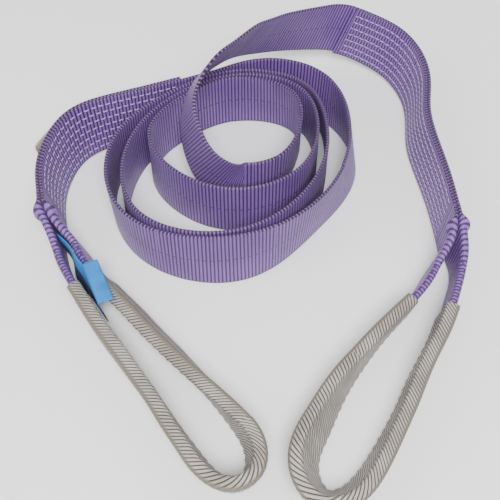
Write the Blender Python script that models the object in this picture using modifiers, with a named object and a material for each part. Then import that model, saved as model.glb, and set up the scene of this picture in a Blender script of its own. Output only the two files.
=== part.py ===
"""Flat web sling: one polyester web standing on edge in a loose coil, with a sleeved eye at each end.

The web runs from the throat of eye B, along lap B and over the back of the coil, round the coil
four times, and out along lap A to the throat of eye A.  At each end it is folded in half, goes
round the eye and comes back as the tail, which is sewn flat on the body.
Heights are above the floor; +Z is up.  Points are in millimetres and are turned into metres once.
"""
import math

import bmesh
import bpy
import numpy as np

MM = 0.001
COLLECTION = "flat_web_sling"

# ---- driving dimensions, millimetres -------------------------------------------------------
WEB_WIDTH = 50.0
WEB_THICK = 2.6
GAP = 0.3                      # free space between parts that lie on each other
PLY_PITCH = WEB_THICK + GAP    # from the body's middle plane to the tail's
WEB_HEIGHTS = (0.0, WEB_WIDTH / 2, WEB_WIDTH)
STATION = 11.0                 # spacing of the web's sections along its length
EYE_STATION = 10.0             # the same round an eye

WEB_CUTS = (0, 40, 72, 104, 138, 174, 215)   # sections where one modelled length of web meets the next
LAP_A_STATIONS = 16            # sections of the body that carry the sewn tail at each end
LAP_B_STATIONS = 23
ROW_COUNT = 7                  # rows of stitching side by side on a lap
ROW_MARGIN = 5.5               # from the web's edge to the middle of the outermost row
ROW_TALL = 1.2
ROW_THICK = 0.6
ROW_END_SKIP = 1               # sections left bare at each end of a lap

FOLD_RADIUS = 1.6              # of the web's middle plane round the folded spine
FOLD_LENGTH = 36.0             # over which the fold comes down from the web's edge to its middle
FOLD_HEM = 2.0                 # of the web already turned down at the throat
HINGE_GAP = 6.5                # free length between the body's end and the eye's
LEG_STRAIGHT = 4.5             # of each leg of an eye, in line with the lap
SWING_DEPTH = 15.0             # height up the folded strip of the points that describe an eye

SLEEVE_START = 67.5            # from the throat, along either leg
SLEEVE_WALL = 1.2
SLEEVE_HALF = 4.3              # half the sleeve's thickness, to the middle of its wall
SLEEVE_TALL = 29.4             # between the middles of its lower and upper walls
SLEEVE_CHAMFER = (1.5, 2.0)    # across and up, at each of its four corners
FOLD_RISE = 2.9                # of the folded web above the floor inside a sleeve
SEAM_HEIGHTS = (7.0, 22.0)     # of the two rows that close a sleeve, up its outer face

LABEL_THICK = 0.9
LABEL_TOP = (                  # upper edge of the label, from the throat: across, along, height
    (-141.3, -8.6, 32), (-132.5, -17.5, 31.5), (-126, -28, 31.5), (-120, -36, 31.5),
    (-115, -47.3, 31.5), (-110, -58.7, 31.5), (-105, -70, 31.5),
)
LABEL_FOOT = (                 # its lower edge, between the legs
    (-139.6, -10, 20), (-131, -19.5, 14), (-128, -31, 9), (-123, -39, 7),
    (-115.5, -47.5, 6), (-108.5, -57.5, 6), (-101.5, -68, 6),
)
LABEL_BEND = 3                 # station of the label where its bent-over edge begins
FLAP_START = 0.9               # from the middle of the standing part to the bent-over edge
FLAP_ACROSS = 10.5
FLAP_DROP = 0.4                # of the bent-over edge's far side
TAG_THICK = 1.0
TAG_STATION = 9                # section of lap A where the sewn part of the tag ends
TAG_HEIGHTS = (7.0, 27.0, 47.0)
TAG_START = 0.7                # from the sewn part to the free part
TAG_REACH = ((0.0, 0.0), (10.0, 0.4), (20.0, 0.8), (28.0, 0.2), (32.0, -4.0))   # along, and out
TAG_STITCH = (0.5, 0.62)       # where its stitching lies between two sections
TAG_STITCH_ENDS = (9.0, 45.0)

ORIGIN = (-3.783, -2.213)           # the middle of the sling's box, in the coordinates below

# ---- route of the web ----------------------------------------------------------------------
# Arm B, from the throat of eye B to where it drops inside the coil: across, along, height of
# the lower edge, and lean in degrees (positive leans the top to the left of the way travelled).
ARM_B = (
    (147, 4, 0, -5), (144, 38, 0, -5), (138, 74, 0, -6), (134, 105, 0, -9),
    (136, 135, 0, -11), (134, 162, 0, -11), (121, 187, 3, -10), (100, 202, 8, -6),
    (76, 208, 15, 0), (50, 201, 23, 7), (25, 190, 31, 14), (3, 178, 38, 20),
    (-14, 165, 45, 27), (-27, 150, 50, 31), (-38, 136, 52, 32), (-46, 123, 52, 29),
    (-52, 107, 46, 21), (-54, 90, 37, 15), (-50, 72, 26, 9), (-41, 57, 15, 6), (-26, 46, 5, 4),
)
# The coil: how far the web's foot is from the hub at eight headings, front first and then
# round by the right, back and left; one row a turn, inner turn first.
HUB = (-6.0, 78.0)
REACH = (
    (35, 36, 39, 62, 60, 60, 72, 63),
    (58, 57.5, 58.5, 68, 64, 64.5, 83, 109),
    (95.5, 73.5, 67, 83, 69, 70, 96.5, 114.5),
    (105.5, 82, 91, 90, 77.5),
)
LEAN = (
    (1, -2, -5, 4, 0, 0, 0, 0),
    (0, 0, 0, 2, 0, 0, 0, 0),
    (0, 0, 1, 12, 0, 1, 1, -3),
    (5, -6, 9, -2, 0),
)
# Arm A, from the back of the coil to the throat of eye A, given as arm B is.
ARM_A = (
    (-25, 148, 0, 1), (-55, 135, 0, 0), (-85, 122, 0, -2), (-112, 109, 0, -6),
    (-134, 93, 0, -10), (-144, 72, 0, -11), (-147, 45, 0, -12), (-143, 20, 0, -12),
)
# Each eye, from its throat down the left leg, round the end and up the right leg: across,
# along, and lean (positive leans the top into the loop).
EYE_A = (
    (-144, -6, -10), (-138, -24, -9), (-128, -43, -9), (-116, -62, -9), (-103, -82, -9),
    (-89, -101, -9), (-76, -119, -10), (-63, -137, -11), (-52, -154, -13), (-40, -171, -16),
    (-27, -187, -19), (-12, -194, -20), (0, -189, -17), (4, -176, -11), (0, -161, -3),
    (-10, -147, 5), (-23, -132, 13), (-35, -119, 19), (-47, -106, 23), (-58, -94, 25),
    (-70, -81, 25), (-83, -66, 25), (-97, -51, 25), (-110, -36, 23), (-121, -21, 20),
    (-129, -8, 16),
)
EYE_B = (
    (137, -24, 12), (128, -40, 15), (118, -54, 14), (106, -67, 12),
    (93, -81, 9), (82, -94, 5), (71, -108, 0), (61, -122, -7), (52, -137, -14),
    (44, -152, -20), (37, -166, -24), (34, -180, -27), (37, -194, -29), (47, -204, -30),
    (61, -202, -28), (75, -189, -22), (86, -172, -17), (95, -156, -14), (104, -139, -12),
    (112, -122, -11), (121, -105, -10), (131, -87, -10), (140, -67, -10), (148, -46, -9),
    (153, -24, -8),
)

# ---- colours -------------------------------------------------------------------------------
VIOLET = (0.23, 0.11, 0.37, 1.0)
THREAD = (0.70, 0.62, 0.72, 1.0)
SLEEVE_GREY = (0.33, 0.30, 0.26, 1.0)
SEAM_GREY = (0.62, 0.60, 0.56, 1.0)
LABEL_BLUE = (0.02, 0.28, 0.62, 1.0)
TAG_CREAM = (0.62, 0.58, 0.47, 1.0)


# ---- curves and frames ---------------------------------------------------------------------
def smooth_curve(points, spacing):
    """Natural cubic spline through rows of numbers; returns rows evenly spaced along it."""
    rows = np.array(points, float)
    steps = np.linalg.norm(np.diff(rows[:, :2], axis=0), axis=1)
    knots = np.concatenate([[0.0], np.cumsum(steps)])
    count = len(rows)
    matrix = np.eye(count)
    right = np.zeros_like(rows)
    for i in range(1, count - 1):
        before, after = steps[i - 1], steps[i]
        matrix[i, i - 1:i + 2] = before, 2.0 * (before + after), after
        rise = (rows[i + 1] - rows[i]) / after - (rows[i] - rows[i - 1]) / before
        right[i] = 6.0 * rise
    bend = np.linalg.solve(matrix, right)

    def at(s):
        i = min(np.searchsorted(knots, s, side="right") - 1, count - 2)
        width = steps[i]
        a, b = (knots[i + 1] - s) / width, (s - knots[i]) / width
        curve = ((a ** 3 - a) * bend[i] + (b ** 3 - b) * bend[i + 1]) * width ** 2 / 6.0
        return a * rows[i] + b * rows[i + 1] + curve

    fine = np.array([at(s) for s in np.linspace(0.0, knots[-1], 12 * count)])
    length = np.concatenate([[0.0], np.cumsum(np.linalg.norm(np.diff(fine[:, :2], axis=0), axis=1))])
    marks = np.linspace(0.0, length[-1], max(3, round(length[-1] / spacing) + 1))
    return np.array([at(np.interp(m, length, np.linspace(0.0, knots[-1], 12 * count))) for m in marks])


def frames(feet, lean):
    """Unit vectors at each station: along the way, up the strip, and square to its face (left)."""
    way = np.gradient(feet, axis=0)
    way /= np.linalg.norm(way, axis=1)[:, None]
    level = np.hypot(way[:, 0], way[:, 1])
    zero = np.zeros(len(feet))
    left = np.stack([-way[:, 1] / level, way[:, 0] / level, zero], axis=1)
    upright = np.stack([-way[:, 0] * way[:, 2] / level, -way[:, 1] * way[:, 2] / level, level], axis=1)
    cosine, sine = np.cos(np.radians(lean))[:, None], np.sin(np.radians(lean))[:, None]
    return way, cosine * upright + sine * left, cosine * left - sine * upright


class Strip:
    """A strip's stations: a point at its foot, and the directions up it and square to it."""

    def __init__(self, feet, lean, start=0, stop=None):
        self.feet = feet[start:stop]
        self.way, self.up, self.face = (v[start:stop] for v in frames(feet, lean))

    def point(self, i, height, offset=0.0):
        place = self.feet[i] + self.up[i] * height + self.face[i] * offset
        return (place - np.array([*ORIGIN, 0.0])) * MM

    def __len__(self):
        return len(self.feet)


def coil_points():
    """The coil's turns, one point every eighth of a turn round the hub."""
    points = []
    step = 0
    for reaches, leans in zip(REACH, LEAN):
        for reach, lean in zip(reaches, leans):
            angle = math.radians(45.0 * step - 90.0)
            points.append((HUB[0] + reach * math.cos(angle), HUB[1] + reach * math.sin(angle), 0.0, lean))
            step += 1
    return points


def web_strip():
    """The whole body web, throat to throat."""
    rows = smooth_curve((*ARM_B, *coil_points(), *ARM_A), STATION)
    lean = rows[:, 3]
    resting = (WEB_THICK / 2 + PLY_PITCH) * np.abs(np.sin(np.radians(lean)))
    lift = np.maximum(rows[:, 2], 0.0)
    return np.column_stack([rows[:, :2], lift + resting]), lean


def fold_profile(share):
    """The web's section as (across, up) points.

    The web is doubled over at its top.  At share 0 only its upper edge is turned down, and as the
    share goes to 1 the fold comes down the web to its middle.
    """
    straight = WEB_WIDTH - math.pi * FOLD_RADIUS
    flap = FOLD_HEM + (straight / 2 - FOLD_HEM) * share
    panel = (straight - flap) / 2
    arc = math.pi * FOLD_RADIUS / 3
    bend = ((arc, 1 / 6), (arc, 1 / 2), (arc, 5 / 6))
    pieces = ((panel, 0.0), (panel, 0.0), *bend, (flap / 2, 1.0), (flap / 2, 1.0))
    across, up = FOLD_RADIUS, 0.0
    points = [(across, up)]
    for length, turned in pieces:
        across -= length * math.sin(math.pi * turned)
        up += length * math.cos(math.pi * turned)
        points.append((across, up))
    return points


def sleeve_profile():
    """The sleeve's section as a closed ring of (across, up) points in the middle of its wall."""
    across, up = SLEEVE_CHAMFER
    side, top = SLEEVE_HALF, SLEEVE_TALL
    inner = side - across
    ring = [(side, up), (side, top / 2), (side, top - up), (inner, top), (-inner, top)]
    ring += [(-side, top - up), *((-side, height) for height in reversed(SEAM_HEIGHTS)), (-side, up)]
    return ring + [(-inner, 0.0), (inner, 0.0)]


def eye_strip(points, throat, heading, throat_lean):
    """An eye's stations, from one side of the throat round the loop to the other.

    The points give the strip's place at SWING_DEPTH up it; the feet follow from the lean.
    """
    heading = np.array(heading)
    left = np.array([-heading[1], heading[0]])
    reach = PLY_PITCH / 2 + FOLD_RADIUS
    sway = SWING_DEPTH * math.sin(math.radians(throat_lean))

    def leg(side):
        ends = (HINGE_GAP + LEG_STRAIGHT, HINGE_GAP)
        places = [np.array(throat) + heading * d + left * (side * reach + sway) for d in ends]
        return [(*place, -side * throat_lean) for place in places]

    first, last = leg(-1)[::-1], leg(1)
    rows = smooth_curve((*first, *points, *last), EYE_STATION)
    lean = rows[:, 2]
    flat = np.column_stack([rows[:, :2], np.zeros(len(rows))])
    _, up, _ = frames(flat, lean)
    feet = flat - up * SWING_DEPTH
    tilt = np.abs(np.sin(np.radians(lean)))
    length = np.concatenate([[0.0], np.cumsum(np.linalg.norm(np.diff(flat, axis=0), axis=1))])
    near = np.minimum(length, length[-1] - length)
    bare = (PLY_PITCH + FOLD_RADIUS) * tilt
    sleeved = SLEEVE_WALL / 2 + (SLEEVE_HALF - SLEEVE_CHAMFER[0] + SLEEVE_WALL / 2) * tilt
    share = np.clip((near - FOLD_LENGTH) / (SLEEVE_START - FOLD_LENGTH), 0.0, 1.0)
    feet[:, 2] = bare + (sleeved - bare) * share
    return feet, lean, near


# ---- mesh helpers --------------------------------------------------------------------------
def material(name, colour, roughness):
    shade = bpy.data.materials.new(name)
    shade.use_nodes = True
    shader = shade.node_tree.nodes["Principled BSDF"]
    shader.inputs["Base Color"].default_value = colour
    shader.inputs["Roughness"].default_value = roughness
    shader.inputs["Metallic"].default_value = 0.0
    return shade


def new_object(name, mesh, home, shade):
    piece = bpy.data.objects.new(name, mesh)
    piece.data.materials.append(shade)
    home.objects.link(piece)
    return piece


def sheet(name, rows, thick, home, shade, closed=False):
    """A sheet through a grid of points, thickened evenly about them; closed joins its sides."""
    along, across = len(rows), len(rows[0])
    mesh = bpy.data.meshes.new(name)
    shell = bmesh.new()
    wide = across if closed else across - 1
    bmesh.ops.create_grid(shell, x_segments=along - 1, y_segments=wide, size=1.0)
    for vert in shell.verts:
        i = round((vert.co.x + 1.0) / 2.0 * (along - 1))
        j = round((vert.co.y + 1.0) / 2.0 * wide)
        vert.co = rows[i][j % across]
    if closed:
        bmesh.ops.remove_doubles(shell, verts=shell.verts, dist=1e-6)
    bmesh.ops.recalc_face_normals(shell, faces=shell.faces)
    shell.to_mesh(mesh)
    shell.free()
    piece = new_object(name, mesh, home, shade)
    wall = piece.modifiers.new("thickness", "SOLIDIFY")
    wall.thickness = thick * MM
    wall.offset = 0.0
    wall.use_even_offset = True
    return piece


def band(name, strip, heights, offset, thick, home, shade, stations=None):
    """A sheet that follows a strip between two heights, at an offset from its middle plane."""
    stations = range(len(strip)) if stations is None else stations
    rows = [[strip.point(i, h, offset) for h in heights] for i in stations]
    return sheet(name, rows, thick, home, shade)


# ---- sub-parts -----------------------------------------------------------------------------
def web_lengths(strip, home, shade):
    """The one long web, modelled as lengths that end just short of each other."""
    for number, (first, last) in enumerate(zip(WEB_CUTS, WEB_CUTS[1:])):
        rows = [[strip.point(i, h) for h in WEB_HEIGHTS] for i in range(first, last + 1)]
        if first > 0:
            rows[0] = shortened(rows[0], rows[1])
        if last < len(strip) - 1:
            rows[-1] = shortened(rows[-1], rows[-2])
        sheet(f"body_web_{number + 1}", rows, WEB_THICK, home, shade)


def shortened(end, inner):
    """The end section of a length of web, drawn back towards the next one in."""
    drawn = []
    for spot, other in zip(end, inner):
        way = other - spot
        drawn.append(spot + way / np.linalg.norm(way) * GAP / 2 * MM)
    return drawn


def stitch_rows(strip, stations, side_offsets, name, home, shade):
    """The rows of thread of one lap, a needle side and a bobbin side to each."""
    for number in range(ROW_COUNT):
        middle = ROW_MARGIN + (WEB_WIDTH - 2 * ROW_MARGIN) * number / (ROW_COUNT - 1)
        heights = (middle - ROW_TALL / 2, middle + ROW_TALL / 2)
        for side, offset in side_offsets:
            band(f"{name}_{side}_{number + 1}", strip, heights, offset, ROW_THICK, home, shade, stations)


def lap(strip, stations, side, name, home, shades):
    """A tail sewn flat on the body: the second ply and its stitching on both outer faces."""
    band(f"{name}_tail", strip, WEB_HEIGHTS, side * PLY_PITCH, WEB_THICK, home, shades["web"], stations)
    on_face = WEB_THICK / 2 + GAP + ROW_THICK / 2
    sides = (("needle", side * (PLY_PITCH + on_face)), ("bobbin", -side * on_face))
    sewn = stations[ROW_END_SKIP:len(stations) - ROW_END_SKIP]
    stitch_rows(strip, sewn, sides, f"{name}_row", home, shades["thread"])


def eye(name, points, throat, heading, throat_lean, home, shades):
    """The folded web of one eye, its sleeve and the two seams that close the sleeve."""
    feet, lean, near = eye_strip(points, throat, heading, throat_lean)
    strip = Strip(feet, lean)
    rise = FOLD_RISE - SLEEVE_WALL / 2
    rows = []
    for i in range(len(strip)):
        share = min(near[i] / FOLD_LENGTH, 1.0)
        profile = fold_profile(share)
        rows.append([strip.point(i, up + rise * share, across) for across, up in profile])
    pieces = [sheet(f"{name}_web", rows, WEB_THICK, home, shades["web"])]
    covered = [i for i in range(len(strip)) if near[i] >= SLEEVE_START]
    ring = [[strip.point(i, up, across) for across, up in sleeve_profile()] for i in covered]
    pieces.append(sheet(f"{name}_sleeve", ring, SLEEVE_WALL, home, shades["sleeve"], closed=True))
    outside = -(SLEEVE_HALF + SLEEVE_WALL / 2 + GAP + ROW_THICK / 2)
    sewn = covered[1:-1]
    for number, height in enumerate(SEAM_HEIGHTS):
        heights = (height - ROW_TALL / 2, height + ROW_TALL / 2)
        seam = f"{name}_seam_{number + 1}"
        pieces.append(band(seam, strip, heights, outside, ROW_THICK, home, shades["seam"], sewn))
    return pieces


def place(point):
    """A point of the tables above in the part's own frame, in metres."""
    return (np.array(point, float) - np.array([*ORIGIN, 0.0])) * MM


def label(home, shade):
    """The label: a strip standing between the legs of eye A, and its bent-over upper edge."""
    tops, feet = np.array(LABEL_TOP, float), np.array(LABEL_FOOT, float)
    rows = [[place(low), place((low + high) / 2), place(high)] for low, high in zip(feet, tops)]
    standing = sheet("label_stem", rows, LABEL_THICK, home, shade)
    crease = tops[LABEL_BEND:]
    way = crease[-1] - crease[0]
    way /= np.linalg.norm(way)
    across = np.array([-way[1], way[0], 0.0])
    near_edge = crease + across * FLAP_START
    far_edge = crease + across * (FLAP_START + FLAP_ACROSS) - np.array([0.0, 0.0, FLAP_DROP])
    rows = [[place(a), place((a + b) / 2), place(b)] for a, b in zip(near_edge, far_edge)]
    bent = sheet("label_flap", rows, LABEL_THICK, home, shade)
    return standing, bent, place((crease[0] + crease[-1]) / 2)


def tag(strip, first, home, shades):
    """The tag on lap A's outer face: a sewn part, its stitching and the free part."""
    end = first + TAG_STATION
    offset = -(PLY_PITCH + WEB_THICK / 2 + GAP + ROW_THICK + GAP + TAG_THICK / 2)
    band("tag_hem", strip, TAG_HEIGHTS, offset, TAG_THICK, home, shades["tag"], (end - 1, end))
    on_hem = offset - TAG_THICK / 2 - GAP - ROW_THICK / 2
    rows = []
    for share in TAG_STITCH:
        ends = [(strip.point(end - 1, h, on_hem), strip.point(end, h, on_hem)) for h in TAG_STITCH_ENDS]
        rows.append([a + (b - a) * share for a, b in ends])
    sheet("tag_stitch", rows, ROW_THICK, home, shades["thread"])
    way, out = strip.way[end], -strip.face[end]
    rows = []
    for along, away in TAG_REACH:
        step = (way * (TAG_START + along) + out * away) * MM
        rows.append([strip.point(end, h, offset) + step for h in TAG_HEIGHTS])
    free = sheet("tag_flap", rows, TAG_THICK, home, shades["tag"])
    pivot = strip.point(end, TAG_HEIGHTS[1], offset) + way * TAG_START / 2 * MM
    return free, pivot


def hang(name, pieces, pivot, home):
    """Parents pieces to an empty on the axis they turn about."""
    empty = bpy.data.objects.new(name, None)
    empty.location = pivot
    home.objects.link(empty)
    for piece in pieces:
        piece.parent = empty
        piece.location = [-value for value in pivot]


def clear_scene():
    for piece in list(bpy.data.objects):
        bpy.data.objects.remove(piece, do_unlink=True)


def main():
    clear_scene()
    home = bpy.data.collections.new(COLLECTION)
    bpy.context.scene.collection.children.link(home)
    shades = {
        "web": material("violet_web", VIOLET, 0.6),
        "thread": material("lilac_thread", THREAD, 0.6),
        "sleeve": material("grey_sleeve", SLEEVE_GREY, 0.8),
        "seam": material("seam_thread", SEAM_GREY, 0.7),
        "label": material("blue_label", LABEL_BLUE, 0.4),
        "tag": material("cream_tag", TAG_CREAM, 0.7),
    }
    feet, lean = web_strip()
    body = Strip(feet, lean)
    web_lengths(body, home, shades["web"])
    count = len(body)
    lap_a = range(count - LAP_A_STATIONS, count)
    lap(body, range(LAP_B_STATIONS), 1, "lap_b", home, shades)
    lap(body, lap_a, -1, "lap_a", home, shades)
    standing, bent, crease = label(home, shades["label"])
    for name, points, end, side in (("eye_a", EYE_A, -1, 1), ("eye_b", EYE_B, 0, -1)):
        heading = side * body.way[end][:2] / np.linalg.norm(body.way[end][:2])
        left = np.array([-heading[1], heading[0]])
        throat = feet[end][:2] - left * PLY_PITCH / 2
        pieces = eye(name, points, throat, heading, side * lean[end], home, shades)
        if name == "eye_a":
            pieces.append(standing)
        pivot = place((*(throat + heading * HINGE_GAP / 2), WEB_WIDTH / 2))
        hang(f"{name}_pivot", pieces, pivot, home)
    hang("label_flap_pivot", [bent], crease, home)
    free, edge = tag(body, lap_a[0], home, shades)
    hang("tag_flap_pivot", [free], edge, home)


main()
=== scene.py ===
"""Looks of the flat web sling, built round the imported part.

The web, its tails and its eyes follow the same route as the solids, with every rib of the weave,
every stitch and every fold as geometry.  Lengths in the tables are in millimetres.
"""
import math

import bpy
import numpy as np
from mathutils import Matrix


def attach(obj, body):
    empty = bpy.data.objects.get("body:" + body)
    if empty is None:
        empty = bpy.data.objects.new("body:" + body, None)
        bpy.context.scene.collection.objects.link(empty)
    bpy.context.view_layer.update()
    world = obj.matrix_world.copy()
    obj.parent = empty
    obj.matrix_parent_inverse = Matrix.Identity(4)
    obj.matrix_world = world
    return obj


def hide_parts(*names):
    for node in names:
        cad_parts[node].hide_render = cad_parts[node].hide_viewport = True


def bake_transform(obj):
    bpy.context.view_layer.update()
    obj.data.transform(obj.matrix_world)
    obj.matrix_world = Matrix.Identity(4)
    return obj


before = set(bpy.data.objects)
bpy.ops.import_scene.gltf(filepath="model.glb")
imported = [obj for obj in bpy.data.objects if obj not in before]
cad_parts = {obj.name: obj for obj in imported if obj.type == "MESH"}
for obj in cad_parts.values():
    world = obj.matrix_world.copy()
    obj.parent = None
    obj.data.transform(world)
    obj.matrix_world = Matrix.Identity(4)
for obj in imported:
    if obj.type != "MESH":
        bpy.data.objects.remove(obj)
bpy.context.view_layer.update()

MM = 0.001
ORIGIN = np.array([-3.783, -2.213, 0.0])      # of the part's frame, in the tables' coordinates

# ---- camera, as the photograph was taken ---------------------------------------------------
CAMERA_PLACE = (0.003783, -0.412487, 0.5639)
CAMERA_TILT = 36.33
CAMERA_LENS = 65.8


def make_camera():
    eye = bpy.data.cameras.new("camera")
    eye.lens = CAMERA_LENS
    eye.sensor_width = 36.0
    eye.clip_start = 0.01
    holder = bpy.data.objects.new("camera", eye)
    holder.location = CAMERA_PLACE
    holder.rotation_euler = (math.radians(CAMERA_TILT), 0.0, 0.0)
    bpy.context.scene.collection.objects.link(holder)
    bpy.context.scene.camera = holder


make_camera()

# ---- sizes ---------------------------------------------------------------------------------
WIDTH = 50.0
THICK = 2.6
PLY = 2.9
RIB = 2.8                       # from rib to rib along the web
STEP = RIB / 4                  # spacing of the sections
RIB_DEPTH = 0.42
STATION = 11.0                  # spacing of the solids' sections, which the laps are counted in
LAP_A_STATIONS = 16
LAP_B_STATIONS = 23
ROW_COUNT = 7
ROW_MARGIN = 5.5
FOLD_RADIUS = 1.6
FOLD_LENGTH = 36.0
FOLD_RISE = 2.9
HINGE_GAP = 6.5
LEG_STRAIGHT = 4.5
SWING_DEPTH = 15.0
SLEEVE_START = 67.5
SLEEVE_WALL = 1.2
SLEEVE_HALF = 4.3
SLEEVE_TALL = 29.4
SLEEVE_INSET = 2.8              # from the web's fold to the middle of the sleeve's side wall
SLEEVE_CORNER = 2.3
SLEEVE_POINTS = 84              # round the sleeve's outline
TWILL_ALONG = 2.8               # spacing of the sleeve's diagonal ridges, along it and round it
TWILL_ROUND = 3.4
SEAM_HEIGHTS = (7.0, 22.0)
SEAM_PITCH = 3.6                # from stitch to stitch
SELVEDGE = 2.2                  # width of the web's flatter edge
EDGE_ROUND = 0.55               # how far the web's edge bulges, as a share of its half thickness
EYE_RELIEF = 0.55               # of the ribs' depth on the folded eyes, as a share of the web's
BLEND_LENGTH = 26.0             # of web from the throat along the eye's heading
LAP_MARGIN = 6.0                # bare web at each end of a lap's stitching
STITCH_CLEAR = 0.1              # from the web's face to the middle of the stitching's travel
STITCH_THICK = 0.34             # half the thread's height and half its width
STITCH_WIDE = 0.62
LABEL_SKIN = 0.7                # thickness of the label and of the tag
TAG_SKIN = 0.8
TAG_OFFSET = PLY + THICK / 2 + 1.7   # of the tag's middle plane from the body's
TAG_FOOT = 7.0
TAG_HEAD = 47.0

# ---- route, as in the part's source --------------------------------------------------------
ARM_B = (
    (147, 4, 0, -5), (144, 38, 0, -5), (138, 74, 0, -6), (134, 105, 0, -9),
    (136, 135, 0, -11), (134, 162, 0, -11), (121, 187, 3, -10), (100, 202, 8, -6),
    (76, 208, 15, 0), (50, 201, 23, 7), (25, 190, 31, 14), (3, 178, 38, 20),
    (-14, 165, 45, 27), (-27, 150, 50, 31), (-38, 136, 52, 32), (-46, 123, 52, 29),
    (-52, 107, 46, 21), (-54, 90, 37, 15), (-50, 72, 26, 9), (-41, 57, 15, 6), (-26, 46, 5, 4),
)
HUB = (-6.0, 78.0)
REACH = (
    (35, 36, 39, 62, 60, 60, 72, 63),
    (58, 57.5, 58.5, 68, 64, 64.5, 83, 109),
    (95.5, 73.5, 67, 83, 69, 70, 96.5, 114.5),
    (105.5, 82, 91, 90, 77.5),
)
LEAN = (
    (1, -2, -5, 4, 0, 0, 0, 0),
    (0, 0, 0, 2, 0, 0, 0, 0),
    (0, 0, 1, 12, 0, 1, 1, -3),
    (5, -6, 9, -2, 0),
)
ARM_A = (
    (-25, 148, 0, 1), (-55, 135, 0, 0), (-85, 122, 0, -2), (-112, 109, 0, -6),
    (-134, 93, 0, -10), (-144, 72, 0, -11), (-147, 45, 0, -12), (-143, 20, 0, -12),
)
EYE_A = (
    (-144, -6, -10), (-138, -24, -9), (-128, -43, -9), (-116, -62, -9), (-103, -82, -9),
    (-89, -101, -9), (-76, -119, -10), (-63, -137, -11), (-52, -154, -13), (-40, -171, -16),
    (-27, -187, -19), (-12, -194, -20), (0, -189, -17), (4, -176, -11), (0, -161, -3),
    (-10, -147, 5), (-23, -132, 13), (-35, -119, 19), (-47, -106, 23), (-58, -94, 25),
    (-70, -81, 25), (-83, -66, 25), (-97, -51, 25), (-110, -36, 23), (-121, -21, 20),
    (-129, -8, 16),
)
EYE_B = (
    (137, -24, 12), (128, -40, 15), (118, -54, 14), (106, -67, 12),
    (93, -81, 9), (82, -94, 5), (71, -108, 0), (61, -122, -7), (52, -137, -14),
    (44, -152, -20), (37, -166, -24), (34, -180, -27), (37, -194, -29), (47, -204, -30),
    (61, -202, -28), (75, -189, -22), (86, -172, -17), (95, -156, -14), (104, -139, -12),
    (112, -122, -11), (121, -105, -10), (131, -87, -10), (140, -67, -10), (148, -46, -9),
    (153, -24, -8),
)
LABEL_TOP = (
    (-141.3, -8.6, 32), (-132.5, -17.5, 31.5), (-126, -28, 31.5), (-120, -36, 31.5),
    (-115, -47.3, 31.5), (-110, -58.7, 31.5), (-105, -70, 31.5),
)
LABEL_FOOT = (
    (-139.6, -10, 20), (-131, -19.5, 14), (-128, -31, 9), (-123, -39, 7),
    (-115.5, -47.5, 6), (-108.5, -57.5, 6), (-101.5, -68, 6),
)
LABEL_BEND = 3
TAG_STATION = 9
TAG_REACH = ((0.0, 0.0), (10.0, 0.4), (20.0, 0.8), (28.0, 0.2), (32.0, -4.0))


# ---- curves --------------------------------------------------------------------------------
def spline(points):
    """Natural cubic spline through rows of numbers, by level distance; returns its function and length."""
    rows = np.array(points, float)
    steps = np.linalg.norm(np.diff(rows[:, :2], axis=0), axis=1)
    knots = np.concatenate([[0.0], np.cumsum(steps)])
    count = len(rows)
    matrix = np.eye(count)
    right = np.zeros_like(rows)
    for i in range(1, count - 1):
        before, after = steps[i - 1], steps[i]
        matrix[i, i - 1:i + 2] = before, 2.0 * (before + after), after
        right[i] = 6.0 * ((rows[i + 1] - rows[i]) / after - (rows[i] - rows[i - 1]) / before)
    bend = np.linalg.solve(matrix, right)

    def at(s):
        i = np.clip(np.searchsorted(knots, s, side="right") - 1, 0, count - 2)
        width = steps[i]
        a, b = (knots[i + 1] - s) / width, (s - knots[i]) / width
        a, b, width = a[:, None], b[:, None], width[:, None]
        curve = ((a ** 3 - a) * bend[i] + (b ** 3 - b) * bend[i + 1]) * width ** 2 / 6.0
        return a * rows[i] + b * rows[i + 1] + curve

    return at, knots[-1], 12 * count


def smooth_curve(points, spacing):
    at, end, count = spline(points)
    marks = np.linspace(0.0, end, count)
    fine = at(marks)
    length = np.concatenate([[0.0], np.cumsum(np.linalg.norm(np.diff(fine[:, :2], axis=0), axis=1))])
    wanted = np.linspace(0.0, length[-1], max(3, round(length[-1] / spacing) + 1))
    return at(np.interp(wanted, length, marks))


def frames(feet, lean):
    way = np.gradient(feet, axis=0)
    way /= np.linalg.norm(way, axis=1)[:, None]
    level = np.hypot(way[:, 0], way[:, 1])
    left = np.stack([-way[:, 1] / level, way[:, 0] / level, 0 * level], axis=1)
    upright = np.stack([-way[:, 0] * way[:, 2] / level, -way[:, 1] * way[:, 2] / level, level], axis=1)
    cosine, sine = np.cos(np.radians(lean))[:, None], np.sin(np.radians(lean))[:, None]
    return way, cosine * upright + sine * left, cosine * left - sine * upright


class Strip:
    """Stations along a strip: its foot, the directions along, up and square to it, and its length."""

    def __init__(self, feet, lean):
        self.feet, self.lean = feet, lean
        self.way, self.up, self.face = frames(feet, lean)
        run = np.linalg.norm(np.diff(feet, axis=0), axis=1)
        self.s = np.concatenate([[0.0], np.cumsum(run)])

    def cut(self, start, stop):
        part = object.__new__(Strip)
        pick = (self.s >= start - 1e-6) & (self.s <= stop + 1e-6)
        for name in ("feet", "lean", "way", "up", "face", "s"):
            setattr(part, name, getattr(self, name)[pick])
        return part

    def points(self, across, up):
        """Places in the part's frame, in metres; across and up are (stations, points) arrays."""
        rise, out = self.up[:, None] * up[..., None], self.face[:, None] * across[..., None]
        spot = self.feet[:, None] + rise + out
        return (spot - ORIGIN) * MM


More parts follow.
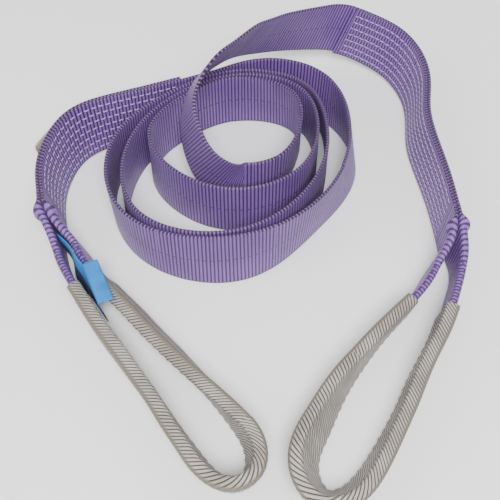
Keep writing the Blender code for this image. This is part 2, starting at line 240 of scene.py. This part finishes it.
def coil_points():
    points = []
    step = 0
    for reaches, leans in zip(REACH, LEAN):
        for reach, lean in zip(reaches, leans):
            angle = math.radians(45.0 * step - 90.0)
            points.append((HUB[0] + reach * math.cos(angle), HUB[1] + reach * math.sin(angle), 0.0, lean))
            step += 1
    return points


def web_strip(spacing):
    rows = smooth_curve((*ARM_B, *coil_points(), *ARM_A), spacing)
    lean = rows[:, 3]
    resting = (THICK / 2 + PLY) * np.abs(np.sin(np.radians(lean)))
    return Strip(np.column_stack([rows[:, :2], np.maximum(rows[:, 2], 0.0) + resting]), lean)


def eye_strip(points, throat, heading, throat_lean, spacing):
    """An eye from the end of the body round the loop and back to it; near is from the throat."""
    left = np.array([-heading[1], heading[0]])
    reach = PLY / 2 + FOLD_RADIUS
    sway = SWING_DEPTH * math.sin(math.radians(throat_lean))

    def leg(side):
        ends = (HINGE_GAP + LEG_STRAIGHT, HINGE_GAP, 0.0)
        spots = [np.array(throat) + heading * d + left * (side * reach + sway) for d in ends]
        return [(*spot, -side * throat_lean) for spot in spots]

    rows = smooth_curve((*leg(-1)[::-1], *points, *leg(1)), spacing)
    lean = rows[:, 2]
    flat = np.column_stack([rows[:, :2], np.zeros(len(rows))])
    feet = flat - frames(flat, lean)[1] * SWING_DEPTH
    tilt = np.abs(np.sin(np.radians(lean)))
    length = np.concatenate([[0.0], np.cumsum(np.linalg.norm(np.diff(flat, axis=0), axis=1))])
    near = np.minimum(length, length[-1] - length) - HINGE_GAP
    bare = (PLY + FOLD_RADIUS) * tilt
    sleeved = SLEEVE_WALL / 2 + (SLEEVE_INSET + SLEEVE_WALL / 2) * tilt
    share = np.clip((near - FOLD_LENGTH) / (SLEEVE_START - FOLD_LENGTH), 0.0, 1.0)
    feet[:, 2] = bare + (sleeved - bare) * share
    return Strip(feet, lean), near


# ---- meshes --------------------------------------------------------------------------------
def skin(name, grid, u, v, shade, closed=True, capped=True):
    """A mesh over a (stations, points) grid of places, with u and v as its UV map."""
    along, across = grid.shape[:2]
    wide = across if closed else across - 1
    i, j = np.meshgrid(np.arange(along - 1), np.arange(wide), indexing="ij")
    k = (j + 1) % across
    quads = np.stack([i * across + j, (i + 1) * across + j, (i + 1) * across + k, i * across + k], -1)
    faces = [tuple(q) for q in quads.reshape(-1, 4).tolist()]
    if capped:
        faces.append(tuple(range(across)))
        faces.append(tuple((along - 1) * across + n for n in reversed(range(across))))
    mesh = bpy.data.meshes.new(name)
    mesh.from_pydata(grid.reshape(-1, 3).tolist(), [], faces)
    layer = mesh.uv_layers.new(name="weave")
    loops = np.empty(len(mesh.loops), int)
    mesh.loops.foreach_get("vertex_index", loops)
    coords = np.stack([np.broadcast_to(u, (along, across)).ravel(),
                       np.broadcast_to(v, (along, across)).ravel()], -1)[loops]
    layer.data.foreach_set("uv", coords.ravel())
    mesh.polygons.foreach_set("use_smooth", [True] * len(mesh.polygons))
    mesh.materials.append(shade)
    mesh.update()
    piece = bpy.data.objects.new(name, mesh)
    bpy.context.scene.collection.objects.link(piece)
    return piece


def outward(piece):
    """Turns a closed mesh's faces outward."""
    mesh = piece.data
    co = np.array([v.co for v in mesh.vertices])
    mesh.calc_loop_triangles()
    tri = np.array([t.vertices for t in mesh.loop_triangles])
    volume = np.einsum("ij,ij->i", co[tri[:, 0]], np.cross(co[tri[:, 1]], co[tri[:, 2]])).sum()
    if volume < 0:
        mesh.flip_normals()
    return piece


def ring_of(profile, half):
    """A closed ring round a line of (across, up) points: half is the thickness either side of it."""
    step = np.gradient(profile, axis=1)
    step /= np.linalg.norm(step, axis=2)[..., None]
    normal = np.stack([-step[..., 1], step[..., 0]], -1)
    one, other = profile + normal * half[..., None], profile - normal * half[..., None]
    lift = EDGE_ROUND * half[:, :1, None]
    foot = profile[:, :1] - step[:, :1] * lift
    tip = profile[:, -1:] + step[:, -1:] * lift
    return np.concatenate([one, tip, other[:, ::-1], foot], axis=1)


def ribs(s, heights, relief, width=WIDTH):
    """Half the web's thickness at each station and height: ridges across it, flat at the selvedges."""
    turn = s / RIB - np.floor(s / RIB)
    ridge = np.sqrt(np.maximum(0.0, 1.0 - (2.0 * turn - 1.0) ** 2))
    edge = np.clip(np.minimum(heights, width - heights) / SELVEDGE, 0.0, 1.0)
    return THICK / 2 - 0.05 - RIB_DEPTH * relief * (1.0 - ridge[:, None]) * (0.35 + 0.65 * edge)


def web_piece(name, strip, profile, shade, phase=0.0, relief=1.0):
    """A stretch of ribbed web whose section at each station is a line of (across, up) points."""
    reach = np.linalg.norm(np.diff(profile, axis=1), axis=2)
    v = np.concatenate([np.zeros((len(profile), 1)), np.cumsum(reach, axis=1)], axis=1)
    half = ribs(strip.s + phase, v, relief)
    ring = ring_of(profile, half)
    v = np.concatenate([v, v[:, -1:] + 1.0, v[:, ::-1], v[:, :1] - 1.0], axis=1) / WIDTH
    grid = strip.points(ring[..., 0], ring[..., 1])
    return outward(skin(name, grid, (strip.s + phase)[:, None] / RIB, v, shade))


def flat_profile(count, offset):
    heights = np.array([0.4, 1.6, 3.5, 8, 14, 20, 25, 30, 36, 42, 46.5, 48.4, 49.6])
    line = np.stack([np.full(len(heights), offset), heights], -1)
    return np.broadcast_to(line, (count, *line.shape))


def fold_profile(near):
    """The section of an eye's web, flat at the throat and doubled over its middle further on."""
    fold = np.clip(near / FOLD_LENGTH, 0.0, 1.0)
    fold = fold * fold * (3.0 - 2.0 * fold)
    arc = math.pi * FOLD_RADIUS
    most = (WIDTH - arc) / 2
    rows = []
    for f in fold:
        turn = math.pi * min(1.0, f / 0.22)
        flap = 0.5 + (most - 0.5) * max(0.0, f - 0.04) / 0.96
        panel = WIDTH - 0.8 - arc - flap
        marks = np.concatenate([np.linspace(0, panel, 9), panel + arc * np.arange(1, 8) / 8,
                                panel + arc + np.linspace(0, flap, 9)])
        angle = turn * np.clip((marks - panel) / arc, 0.0, 1.0)
        middle = (angle[1:] + angle[:-1]) / 2
        step = np.diff(marks)
        x = FOLD_RADIUS - np.concatenate([[0.0], np.cumsum(step * np.sin(middle))])
        y = 0.4 + np.concatenate([[0.0], np.cumsum(step * np.cos(middle))])
        rows.append(np.stack([x, y], -1))
    return np.array(rows)


def thread_rows(name, strip, start, stop, offset, side, shade):
    """Rows of stitches along a lap: threads that rise over two ribs and dive between them."""
    count = int((stop - start) / (RIB / 4))
    s = np.linspace(start, stop, count)
    sides = 8
    turn = 2.0 * math.pi * np.arange(sides) / sides
    verts, faces, uvs = [], [], []
    for row in range(ROW_COUNT):
        height = ROW_MARGIN + (WIDTH - 2 * ROW_MARGIN) * row / (ROW_COUNT - 1)
        phase = (s / (2 * RIB) + 0.5 * (row % 2)) % 1.0
        over = np.sin(math.pi * phase)
        lift = -1.35 + 1.6 * np.clip((over - 0.22) * 2.6, 0.0, 1.0)
        wobble = 0.18 * np.sin(s * 0.9 + row * 1.7)
        across = offset + side * (lift[:, None] + STITCH_THICK * np.cos(turn))
        up = height + wobble[:, None] + STITCH_WIDE * np.sin(turn)
        first = len(verts)
        feet = np.stack([np.interp(s, strip.s, strip.feet[:, k]) for k in range(3)], -1)
        rise = np.stack([np.interp(s, strip.s, strip.up[:, k]) for k in range(3)], -1)
        out = np.stack([np.interp(s, strip.s, strip.face[:, k]) for k in range(3)], -1)
        spot = feet[:, None] + rise[:, None] * up[..., None] + out[:, None] * across[..., None]
        verts.extend(((spot - ORIGIN) * MM).reshape(-1, 3).tolist())
        for i in range(count - 1):
            for j in range(sides):
                k = (j + 1) % sides
                a, b = first + i * sides, first + (i + 1) * sides
                faces.append((a + j, b + j, b + k, a + k))
        faces.append(tuple(first + n for n in range(sides)))
        faces.append(tuple(first + (count - 1) * sides + n for n in reversed(range(sides))))
        uvs.extend(np.stack([np.repeat(s / RIB, sides), np.tile(turn, count)], -1).tolist())
    mesh = bpy.data.meshes.new(name)
    mesh.from_pydata(verts, [], faces)
    layer = mesh.uv_layers.new(name="weave")
    loops = np.empty(len(mesh.loops), int)
    mesh.loops.foreach_get("vertex_index", loops)
    layer.data.foreach_set("uv", np.array(uvs)[loops].ravel())
    mesh.polygons.foreach_set("use_smooth", [True] * len(mesh.polygons))
    mesh.materials.append(shade)
    piece = bpy.data.objects.new(name, mesh)
    bpy.context.scene.collection.objects.link(piece)
    return outward(piece)


def sleeve(name, strip, near, shade):
    """A woven tube over the folded web: twill ridges on its skin, a wall, and two open mouths."""
    keep = near >= SLEEVE_START
    part = object.__new__(Strip)
    for key in ("feet", "lean", "way", "up", "face", "s"):
        setattr(part, key, getattr(strip, key)[keep])
    side, tall, corner = SLEEVE_HALF + SLEEVE_WALL / 2, SLEEVE_TALL + SLEEVE_WALL, SLEEVE_CORNER
    base = -SLEEVE_WALL / 2
    outline = []
    for cx, cy, start in ((side - corner, tall - corner, 0), (corner - side, tall - corner, 1),
                          (corner - side, corner, 2), (side - corner, corner, 3)):
        for t in np.linspace(0, 1, 6):
            angle = math.pi / 2 * (start + t)
            outline.append((cx + corner * math.cos(angle), cy + corner * math.sin(angle)))
    outline = np.array(outline)
    closed = np.vstack([outline, outline[:1]])
    length = np.concatenate([[0.0], np.cumsum(np.linalg.norm(np.diff(closed, axis=0), axis=1))])
    marks = np.linspace(0, length[-1], SLEEVE_POINTS, endpoint=False)
    ring = np.stack([np.interp(marks, length, closed[:, k]) for k in range(2)], -1)
    step = np.roll(ring, -1, axis=0) - np.roll(ring, 1, axis=0)
    step /= np.linalg.norm(step, axis=1)[:, None]
    normal = np.stack([step[:, 1], -step[:, 0]], -1)
    s = part.s - part.s[0]
    twill = np.abs(np.sin(math.pi * (s[:, None] / TWILL_ALONG + marks[None] / TWILL_ROUND)))
    ends = np.minimum(s, s[-1] - s)[:, None]
    pucker = np.clip(ring[:, 0] / side, 0.0, 1.0)[None] * np.sin(s[:, None] * 0.9 + ring[:, 1][None] * 0.15)
    belly = np.sin(math.pi * np.clip(ring[:, 1] / tall, 0, 1))[None] * np.sin(s[:, None] * 0.045 + 0.6)
    puckered = 0.30 * pucker * np.clip(ends / 20.0, 0.3, 1.0)
    depth = 0.10 - 0.34 * (1.0 - twill) + puckered - 0.35 * np.abs(belly)
    outer = ring[None] + normal[None] * depth[..., None]
    outer[..., 1] += base
    inner = ring[None] - normal[None] * SLEEVE_WALL + 0 * depth[..., None]
    inner[..., 1] += base
    both = np.concatenate([outer, inner[::-1], outer[:1]], axis=0)
    index = np.concatenate([np.arange(len(s)), np.arange(len(s))[::-1], [0]])
    feet, up, face = part.feet[index], part.up[index], part.face[index]
    spot = feet[:, None] + up[:, None] * both[..., 1:2] + face[:, None] * both[..., 0:1]
    u = np.concatenate([s, s[::-1] + 0.01, s[:1]])[:, None] / RIB
    v = np.broadcast_to((marks / length[-1])[None], both.shape[:2])
    grid = ((spot - ORIGIN) * MM)[:-1]
    grid = np.concatenate([grid, grid[:1]], axis=0)
    piece = skin(name, grid, u, v, shade, closed=True, capped=False)
    weld = piece.modifiers.new("weld", "WELD")
    weld.merge_threshold = 1e-7
    bpy.context.view_layer.objects.active = piece
    bpy.ops.object.modifier_apply(modifier="weld")
    return outward(piece), part, length[-1]


def cloth(name, grid, thick, shade):
    """A thin sheet through a (stations, points) grid, thickened either side."""
    along = np.gradient(grid, axis=0)
    across = np.gradient(grid, axis=1)
    normal = np.cross(along, across)
    normal /= np.linalg.norm(normal, axis=2)[..., None]
    one, other = grid + normal * thick / 2, grid - normal * thick / 2
    ring = np.concatenate([one, other[:, ::-1]], axis=1)
    n, m = grid.shape[:2]
    v = np.concatenate([np.linspace(0, 1, m), np.linspace(1, 0, m)])[None]
    u = np.linspace(0, 1, n)[:, None]
    return outward(skin(name, ring, u, v, shade))


def refine(points, count):
    """Rows of places made smooth along their length."""
    rows = np.array(points, float)
    flat = rows.reshape(len(rows), -1)
    slope = np.gradient(flat, axis=0)
    t = np.linspace(0, len(rows) - 1, count)
    i = np.clip(t.astype(int), 0, len(rows) - 2)
    q = (t - i)[:, None]
    a, b, da, db = flat[i], flat[i + 1], slope[i], slope[i + 1]
    out = (2 * q ** 3 - 3 * q ** 2 + 1) * a + (q ** 3 - 2 * q ** 2 + q) * da
    out += (-2 * q ** 3 + 3 * q ** 2) * b + (q ** 3 - q ** 2) * db
    return out.reshape(count, *rows.shape[1:])


# ---- materials -----------------------------------------------------------------------------
class Graph:
    """Short calls for a material's nodes."""

    def __init__(self, name, roughness, sheen):
        self.material = bpy.data.materials.new(name)
        self.material.use_nodes = True
        self.nodes = self.material.node_tree.nodes
        self.links = self.material.node_tree.links
        self.shader = self.nodes["Principled BSDF"]
        self.shader.inputs["Roughness"].default_value = roughness
        self.shader.inputs["Sheen Weight"].default_value = sheen
        self.shader.inputs["Sheen Roughness"].default_value = 0.45
        self.shader.inputs["Specular IOR Level"].default_value = 0.35
        uv = self.nodes.new("ShaderNodeUVMap")
        uv.uv_map = "weave"
        split = self.nodes.new("ShaderNodeSeparateXYZ")
        self.links.new(uv.outputs[0], split.inputs[0])
        self.uv, self.u, self.v = uv.outputs[0], split.outputs[0], split.outputs[1]

    def math(self, operation, *values):
        node = self.nodes.new("ShaderNodeMath")
        node.operation = operation
        for socket, value in zip(node.inputs, values):
            if isinstance(value, (int, float)):
                socket.default_value = value
            else:
                self.links.new(value, socket)
        return node.outputs[0]

    def mix(self, share, one, other):
        node = self.nodes.new("ShaderNodeMix")
        node.data_type = "RGBA"
        for socket, value in ((node.inputs[0], share), (node.inputs[6], one), (node.inputs[7], other)):
            if isinstance(value, (int, float)):
                socket.default_value = value
            elif isinstance(value, tuple):
                socket.default_value = (*value, 1.0)
            else:
                self.links.new(value, socket)
        return node.outputs[2]

    def noise(self, scale, detail=3.0, stretch=None):
        node = self.nodes.new("ShaderNodeTexNoise")
        node.inputs["Scale"].default_value = scale
        node.inputs["Detail"].default_value = detail
        source = self.nodes.new("ShaderNodeTexCoord").outputs["Object"]
        if stretch is not None:
            mapping = self.nodes.new("ShaderNodeMapping")
            mapping.inputs["Scale"].default_value = stretch
            self.links.new(self.uv, mapping.inputs[0])
            source = mapping.outputs[0]
        self.links.new(source, node.inputs["Vector"])
        return node.outputs[0]

    def band(self, value, low, high):
        """0 below low, 1 above high, smooth between."""
        node = self.nodes.new("ShaderNodeMapRange")
        node.interpolation_type = "SMOOTHSTEP"
        self.links.new(value, node.inputs[0])
        node.inputs[1].default_value = low
        node.inputs[2].default_value = high
        return node.outputs[0]

    def finish(self, colour, height=None, depth=0.0003):
        self.links.new(colour, self.shader.inputs["Base Color"])
        if height is not None:
            bump = self.nodes.new("ShaderNodeBump")
            bump.inputs["Strength"].default_value = 0.6
            bump.inputs["Distance"].default_value = depth
            self.links.new(height, bump.inputs["Height"])
            self.links.new(bump.outputs[0], self.shader.inputs["Normal"])
        return self.material


def web_material():
    g = Graph("web_weave", 0.5, 0.08)
    turn = g.math("FRACT", g.u)
    ridge = g.math("SINE", g.math("MULTIPLY", turn, math.pi))
    odd = g.math("FRACT", g.math("MULTIPLY", g.math("FLOOR", g.u), 0.5))
    offset_picks = g.math("ADD", g.math("MULTIPLY", g.v, 34.0), odd)
    picks = g.math("SINE", g.math("MULTIPLY", offset_picks, 2 * math.pi))
    yarn = g.noise(1.0, 4.0, (3.0, 260.0, 1.0))
    cloudy = g.noise(22.0, 2.0)
    light = g.mix(g.band(cloudy, 0.3, 0.7), (0.235, 0.125, 0.44), (0.36, 0.22, 0.58))
    # painted shade: the grooves between the ribs are coloured near black, as shade falling in them, while
    # the crests take the lighter yarn colour
    painted_groove_shade = g.mix(g.band(cloudy, 0.3, 0.7), (0.030, 0.009, 0.055), (0.045, 0.014, 0.085))
    fibre = g.mix(g.band(yarn, 0.3, 0.75), (0.125, 0.045, 0.26), light)
    colour = g.mix(g.band(ridge, 0.38, 0.86), painted_groove_shade, fibre)
    colour = g.mix(g.math("MULTIPLY", g.band(picks, 0.2, 1.0), 0.28), colour, (0.085, 0.03, 0.16))
    middle = g.math("LESS_THAN", g.math("ABSOLUTE", g.math("SUBTRACT", g.v, 0.5)), 0.011)
    dash = g.math("LESS_THAN", g.math("FRACT", g.math("MULTIPLY", g.u, 0.5)), 0.5)
    stripe = g.math("MULTIPLY", middle, dash)
    colour = g.mix(g.math("MULTIPLY", stripe, 0.85), colour, (0.05, 0.018, 0.09))
    # painted shade: the last strip of each face and the web's edge are coloured near black where the ribs
    # dip, as if in shadow, with lighter dots on the rib crests
    edge = g.band(g.math("ABSOLUTE", g.math("SUBTRACT", g.v, 0.5)), 0.472, 0.492)
    rim = g.mix(g.band(ridge, 0.72, 0.95), (0.022, 0.010, 0.035), (0.16, 0.09, 0.25))
    colour = g.mix(edge, colour, rim)
    outer = g.band(g.math("ABSOLUTE", g.math("SUBTRACT", g.v, 0.5)), 0.500, 0.508)
    dots = g.mix(g.band(ridge, 0.75, 0.97), (0.02, 0.010, 0.03), (0.36, 0.26, 0.50))
    colour = g.mix(outer, colour, dots)
    height = g.math("ADD", g.math("MULTIPLY", picks, 0.35), yarn)
    return g.finish(colour, height, 0.00025)


def thread_material(name, light, dark):
    g = Graph(name, 0.5, 0.08)
    ply = g.math("SINE", g.math("ADD", g.math("MULTIPLY", g.u, 14.0), g.math("MULTIPLY", g.v, 1.0)))
    colour = g.mix(g.band(ply, -0.6, 0.6), dark, light)
    return g.finish(colour, ply, 0.0001)


def sleeve_material():
    g = Graph("sleeve_weave", 0.7, 0.06)
    phase = g.math("ADD", g.u, g.math("MULTIPLY", g.v, 22.6))
    twill = g.math("ABSOLUTE", g.math("SINE", g.math("MULTIPLY", phase, math.pi)))
    fine = g.math("SINE", g.math("MULTIPLY", g.v, 2 * math.pi * 60))
    grime = g.noise(30.0, 4.0)
    yarn = g.noise(1.0, 4.0, (5.0, 120.0, 1.0))
    light = g.mix(g.band(grime, 0.3, 0.7), (0.30, 0.27, 0.245), (0.47, 0.44, 0.42))
    # painted shade: the twill grooves of the sleeve are coloured almost black, as shade in the hollows
    # between the ridges
    dark = g.mix(g.band(grime, 0.3, 0.7), (0.035, 0.028, 0.019), (0.065, 0.052, 0.038))
    painted_side_shade = g.mix(g.band(yarn, 0.3, 0.7), (0.10, 0.084, 0.064), (0.175, 0.15, 0.12))
    weave = g.mix(g.band(twill, 0.3, 0.8), dark, light)
    # the perimeter runs from the loop side over the top, down the outside and under the foot; the outside
    # face is painted a darker, flatter brown as shade
    outside = g.math("MULTIPLY", g.band(g.v, 0.10, 0.12), g.math("SUBTRACT", 1.0, g.band(g.v, 0.50, 0.52)))
    painted_side_shade = g.mix(g.math("MULTIPLY", g.band(twill, 0.3, 0.9), 0.35), painted_side_shade, (0.26, 0.235, 0.20))
    colour = g.mix(outside, weave, painted_side_shade)
    speck = g.math("MULTIPLY", g.band(fine, 0.5, 1.0), 0.25)
    colour = g.mix(speck, colour, (0.10, 0.085, 0.065))
    return g.finish(colour, g.math("ADD", g.math("MULTIPLY", fine, 0.3), yarn), 0.0003)


def label_material(name, shaded_foot):
    g = Graph(name, 0.35, 0.04)
    wave = g.noise(60.0, 3.0)
    threads = g.math("SINE", g.math("MULTIPLY", g.u, 2 * math.pi * 70))
    cross = g.math("SINE", g.math("MULTIPLY", g.v, 2 * math.pi * 50))
    colour = g.mix(g.band(wave, 0.3, 0.7), (0.010, 0.17, 0.50), (0.02, 0.26, 0.66))
    hem = g.band(g.math("ABSOLUTE", g.math("SUBTRACT", g.v, 0.5)), 0.44, 0.47)
    colour = g.mix(g.math("MULTIPLY", hem, 0.5), colour, (0.008, 0.10, 0.32))
    # painted shade: the lower half of the sheet is coloured dark navy, as shade between the eye's legs
    if shaded_foot:
        colour = g.mix(g.band(g.v, 0.50, 0.60), (0.010, 0.022, 0.085), colour)
    return g.finish(colour, g.math("ADD", threads, cross), 0.00006)


def tag_material():
    g = Graph("tag_cloth", 0.7, 0.05)
    wave = g.noise(45.0, 4.0)
    threads = g.math("SINE", g.math("MULTIPLY", g.u, 2 * math.pi * 45))
    cross = g.math("SINE", g.math("MULTIPLY", g.v, 2 * math.pi * 60))
    weave = g.math("MULTIPLY", threads, cross)
    colour = g.mix(g.band(wave, 0.25, 0.75), (0.36, 0.32, 0.24), (0.56, 0.52, 0.43))
    colour = g.mix(g.math("MULTIPLY", g.band(weave, 0.2, 0.9), 0.25), colour, (0.25, 0.22, 0.155))
    return g.finish(colour, weave, 0.00012)


def floor_material():
    g = Graph("floor", 0.9, 0.0)
    g.shader.inputs["Specular IOR Level"].default_value = 0.0
    colour = g.mix(g.noise(3.0, 2.0), (0.93, 0.93, 0.93), (0.96, 0.96, 0.96))
    return g.finish(colour)


# ---- the sling -----------------------------------------------------------------------------
web_shade = web_material()
thread_shade = thread_material("lap_thread", (0.52, 0.42, 0.64), (0.27, 0.19, 0.37))
seam_shade = thread_material("seam_thread", (0.46, 0.43, 0.40), (0.22, 0.20, 0.17))
sleeve_shade = sleeve_material()
label_shade = label_material("label_cloth", False)
# a copy of the label's cloth with painted shade on its lower half
stem_shade = label_material("label_cloth_shaded_foot", True)
tag_shade = tag_material()


def dress(piece, body, slot, *nodes):
    if body:
        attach(piece, body)
    if nodes:
        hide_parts(*nodes)
    return piece


def lap_nodes(lap, side):
    return [f"{lap}_row_{side}_{n + 1}" for n in range(ROW_COUNT)]


body = web_strip(STEP)
coarse = web_strip(STATION)
total = body.s[-1]
station = coarse.s
lap_b_end = np.interp(LAP_B_STATIONS - 1, np.arange(len(station)), station)
lap_a_start = np.interp(len(station) - LAP_A_STATIONS, np.arange(len(station)), station)
scale = total / station[-1]
lap_b_end, lap_a_start = lap_b_end * scale, lap_a_start * scale

web = web_piece("web_body", body, flat_profile(len(body.s), 0.0), web_shade)
dress(web, "body", "web", *[f"body_web_{n}" for n in range(1, 7)])

for lap, start, stop, side in (("lap_b", 0.0, lap_b_end, 1), ("lap_a", lap_a_start, total, -1)):
    part = body.cut(start, stop)
    tail = web_piece(f"{lap}_tail_web", part, flat_profile(len(part.s), side * PLY), web_shade, RIB / 2)
    dress(tail, "body", "web", f"{lap}_tail")
    on_face = THICK / 2 + STITCH_CLEAR
    needle = thread_rows(f"{lap}_needle_thread", body, start + LAP_MARGIN, stop - LAP_MARGIN,
                         side * (PLY + on_face), side, thread_shade)
    dress(needle, "body", "thread", *lap_nodes(lap, "needle"))
    bobbin = thread_rows(f"{lap}_bobbin_thread", body, start + LAP_MARGIN, stop - LAP_MARGIN,
                         -side * on_face, -side, thread_shade)
    dress(bobbin, "body", "thread", *lap_nodes(lap, "bobbin"))


def seam(name, part, height, shade):
    """A run of stitches along the outer face of a sleeve."""
    s = part.s[12:-12]
    feet, rise, out = part.feet[12:-12], part.up[12:-12], part.face[12:-12]
    sides = 6
    turn = 2.0 * math.pi * np.arange(sides) / sides
    over = np.abs(np.sin(math.pi * s / SEAM_PITCH))
    lift = SLEEVE_HALF + SLEEVE_WALL / 2 - 0.35 + 0.45 * over
    across = -(lift[:, None] + 0.3 * np.cos(turn))
    up = height + 0.2 * np.sin(s * 0.5)[:, None] + 0.45 * np.sin(turn)
    spot = feet[:, None] + rise[:, None] * up[..., None] + out[:, None] * across[..., None]
    grid = (spot - ORIGIN) * MM
    return outward(skin(name, grid, s[:, None] / RIB, turn[None], shade))


def throat_of(end, side):
    heading = side * coarse.way[end][:2] / np.linalg.norm(coarse.way[end][:2])
    left = np.array([-heading[1], heading[0]])
    return coarse.feet[end][:2] - left * PLY / 2, heading


throats = {}
for name, points, end, side in (("eye_a", EYE_A, -1, 1), ("eye_b", EYE_B, 0, -1)):
    throat, heading = throat_of(end, side)
    throats[name] = (throat, heading)
    strip, near = eye_strip(points, throat, heading, side * coarse.lean[end], STEP)
    profile = fold_profile(near)
    rise = FOLD_RISE * np.clip(near / FOLD_LENGTH, 0.0, 1.0)
    profile[..., 1] += rise[:, None]
    loop = web_piece(f"{name}_folded_web", strip, profile, web_shade, relief=EYE_RELIEF)
    start = (np.array([*throat, 25.0]) - ORIGIN) * MM
    stop = start + np.array([*heading, 0.0]) * BLEND_LENGTH * MM
    dress(loop, None, "web", f"{name}_web")
    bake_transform(loop)
    tube, part, girth = sleeve(f"{name}_sleeve_tube", strip, near, sleeve_shade)
    dress(tube, name, "sleeve", f"{name}_sleeve")
    for number, height in enumerate(SEAM_HEIGHTS):
        line = seam(f"{name}_seam_stitches_{number + 1}", part, height, seam_shade)
        dress(line, name, "seam", f"{name}_seam_{number + 1}")


# ---- label and tag -------------------------------------------------------------------------
def standing_label():
    tops, feet = np.array(LABEL_TOP, float), np.array(LABEL_FOOT, float)
    rows = [[low + (high - low) * t for t in np.linspace(0, 1, 14)] for low, high in zip(feet, tops)]
    grid = refine(rows, 40)
    return (grid - ORIGIN) * MM


def bent_label():
    crease = np.array(LABEL_TOP[LABEL_BEND:], float)
    way = crease[-1] - crease[0]
    way /= np.linalg.norm(way)
    across = np.array([-way[1], way[0], 0.0])
    rows = []
    for t in np.linspace(0, 1, 30):
        spot = crease[0] + (crease[-1] - crease[0]) * t
        row = []
        for q in np.linspace(0, 1, 12):
            crown = 0.9 * math.sin(math.pi * q) * (0.6 + 0.4 * math.sin(3 * t))
            row.append(spot + across * (0.1 + 11.2 * q) + np.array([0, 0, crown - 0.4 * q]))
        rows.append(row)
    return (np.array(rows) - ORIGIN) * MM


stem = cloth("label_standing", standing_label(), LABEL_SKIN * MM, stem_shade)
dress(stem, "eye_a", "label", "label_stem")
flap = cloth("label_bent_edge", bent_label(), LABEL_SKIN * MM, label_shade)
dress(flap, "label_flap", "label", "label_flap")

tag_end = lap_a_start + TAG_STATION * (total - lap_a_start) / (LAP_A_STATIONS - 1)
tag_first = tag_end - (total - lap_a_start) / (LAP_A_STATIONS - 1)


def strip_at(s):
    return [np.array([np.interp(s, body.s, v[:, k]) for k in range(3)])
            for v in (body.feet, body.up, body.face, body.way)]


def tag_grids():
    offset = -TAG_OFFSET
    heights = np.linspace(TAG_FOOT, TAG_HEAD, 24)
    hem = []
    for s in np.linspace(tag_first, tag_end, 14):
        foot, up, face, _ = strip_at(s)
        hem.append([foot + up * h + face * offset for h in heights])
    foot, up, face, way = strip_at(tag_end)
    rows = []
    for along, away in TAG_REACH:
        rows.append([foot + up * h + face * (offset - away) + way * (0.7 + along) for h in heights])
    free = refine(rows, 36)
    wave = 0.5 * np.sin(np.linspace(0, 3.0, 36))[:, None, None] * np.sin(heights / 9.0)[None, :, None]
    free = free - face * wave
    return (np.array(hem) - ORIGIN) * MM, (free - ORIGIN) * MM


hem_grid, free_grid = tag_grids()
hem = cloth("tag_sewn_part", hem_grid, TAG_SKIN * MM, tag_shade)
dress(hem, "body", "tag", "tag_hem")
free = cloth("tag_free_part", free_grid, TAG_SKIN * MM, tag_shade)
dress(free, "tag_flap", "tag", "tag_flap")


def tag_stitches():
    s = tag_first + 0.56 * (tag_end - tag_first)
    foot, up, face, way = strip_at(s)
    heights = np.linspace(9.0, 45.0, 120)
    sides = 6
    turn = 2.0 * math.pi * np.arange(sides) / sides
    over = np.abs(np.sin(math.pi * heights / 3.0))
    out = 6.0 + 0.15 + 0.45 * over
    spot = (foot + up * heights[:, None])[:, None] - face * (out[:, None] + 0.25 * np.cos(turn))[..., None]
    spot = spot + way * (0.4 * np.sin(turn))[None, :, None]
    grid = (spot - ORIGIN) * MM
    return outward(skin("tag_stitch_line", grid, heights[:, None] / RIB, turn[None], thread_shade))


dress(tag_stitches(), "body", "thread", "tag_stitch")


# ---- floor and light -----------------------------------------------------------------------
def make_floor():
    bpy.ops.mesh.primitive_grid_add(x_subdivisions=8, y_subdivisions=8, size=14.0, location=(0, 0, -0.0006))
    floor = bpy.context.object
    floor.name = "floor"
    floor.data.uv_layers[0].name = "weave"
    floor.data.materials.append(floor_material())


def area_light(name, place, size, power, colour=(1, 1, 1)):
    lamp = bpy.data.lights.new(name, "AREA")
    lamp.shape = "DISK"
    lamp.size = size
    lamp.energy = power
    lamp.color = colour
    holder = bpy.data.objects.new(name, lamp)
    holder.location = place
    away = np.array(place) - np.array([0.0, 0.0, 0.02])
    away /= np.linalg.norm(away)
    turn = math.atan2(away[0], -away[1])
    holder.rotation_euler = (math.acos(away[2]), 0.0, turn)
    bpy.context.scene.collection.objects.link(holder)


def make_world():
    world = bpy.data.worlds.new("studio")
    world.use_nodes = True
    world.node_tree.nodes["Background"].inputs[0].default_value = (1.0, 1.0, 1.0, 1.0)
    world.node_tree.nodes["Background"].inputs[1].default_value = 0.75
    bpy.context.scene.world = world


make_floor()
make_world()
area_light("key", (0.1, -1.2, 1.7), 0.9, 66.0)
area_light("fill", (-1.4, -0.4, 1.3), 1.4, 8.0)
area_light("back", (0.6, 1.5, 1.6), 1.4, 6.0)
